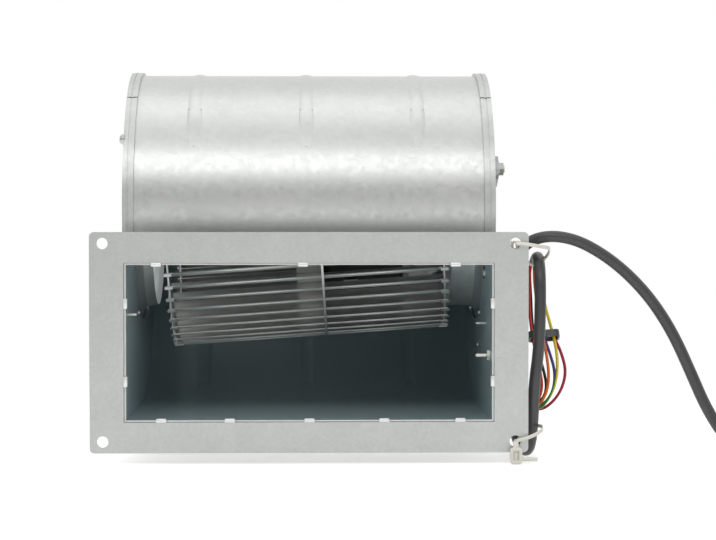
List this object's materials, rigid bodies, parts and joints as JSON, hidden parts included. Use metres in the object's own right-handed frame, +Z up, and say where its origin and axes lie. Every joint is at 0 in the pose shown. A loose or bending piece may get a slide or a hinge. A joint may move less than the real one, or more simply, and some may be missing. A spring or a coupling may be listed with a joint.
{
  "type": "centrifugal fan",
  "caption": "Double-inlet centrifugal fan: galvanised scroll housing with a bolted outlet flange, a forward-curved drum impeller on an external-rotor motor, and a supply cable.",
  "frame": {"origin": "centre of the outlet flange's front face, on the duct's centreline", "axes": "-Y is the way the air leaves, square to the outlet flange; +X runs along the housing towards the inlet that holds the motor; +Z is up"},
  "size_m": [0.552, 0.257, 0.2499],
  "materials": {
    "galvanised_sheet": "hot-dip galvanised, fine dull spangle",
    "galvanised_flange": "galvanised, rolled and punched",
    "blade_sheet": "galvanised strip, pressed",
    "can_steel": "drawn steel, dark dip coat",
    "cast_aluminium": "die cast, fine blast",
    "zinc_plated": "bright zinc plate",
    "bracket_steel": "galvanised, pressed",
    "bearing_steel": "ground",
    "laminations": "punched electrical steel, varnished",
    "copper_winding": "enamelled copper wire, varnished",
    "buffer_rubber": "moulded, matt",
    "black_sheath": "extruded soft PVC, satin",
    "core_red": "extruded PVC",
    "core_orange": "extruded PVC",
    "core_yellow_green": "extruded PVC, two colours",
    "core_black": "extruded PVC",
    "core_violet": "extruded PVC",
    "core_crimson": "extruded PVC",
    "natural_nylon": "moulded polyamide, satin"
  },
  "bodies": {
    "housing": {"scroll_wrapper": "galvanised_sheet", "cutoff_plate": "galvanised_sheet", "side_plate_left": "galvanised_sheet", "side_plate_right": "galvanised_sheet", "inlet_nozzle_left": "galvanised_sheet", "inlet_nozzle_right": "galvanised_sheet", "outlet_flange": "galvanised_flange", "motor_flange": "cast_aluminium", "nozzle_rivets_left": "zinc_plated", "nozzle_rivets_right": "zinc_plated", "preload_spring": "zinc_plated", "buffer_studs": "zinc_plated", "buffer_nuts": "zinc_plated", "foot_studs": "zinc_plated", "foot_washers": "zinc_plated", "foot_nuts": "zinc_plated", "clip_rivet": "zinc_plated", "lead_clip": "zinc_plated", "motor_bracket": "bracket_steel", "bearing_outer_rings": "bearing_steel", "stator_core": "laminations", "end_windings": "copper_winding", "rubber_buffers": "buffer_rubber", "foot_bushes": "buffer_rubber", "lead_gland": "buffer_rubber", "motor_lead": "black_sheath", "supply_cable": "black_sheath", "supply_coil": "black_sheath", "supply_tail": "black_sheath", "core_band": "black_sheath", "tie_top": "natural_nylon", "tie_bottom": "natural_nylon", "connector": "natural_nylon", "core_red": "core_red", "core_orange": "core_orange", "core_yellow_green": "core_yellow_green", "core_black": "core_black", "core_violet": "core_violet", "core_crimson": "core_crimson"},
    "rotor": {"impeller_disc": "blade_sheet", "blade_row_left": "blade_sheet", "blade_row_right": "blade_sheet", "end_ring_left": "blade_sheet", "end_ring_right": "blade_sheet", "balance_clips": "zinc_plated", "rotor_can": "can_steel", "disc_rivets": "zinc_plated", "cage_ring": "laminations", "shaft": "bearing_steel", "circlip": "zinc_plated", "bearing_inner_rings": "bearing_steel"}
  },
  "joints": [
    {"name": "impeller_spin", "type": "hinge", "parent": "housing", "child": "rotor", "pos_m": [0.08, 0.127, 0.075], "axis": [0.9976, 0, 0.0698], "continuous": true}
  ]
}
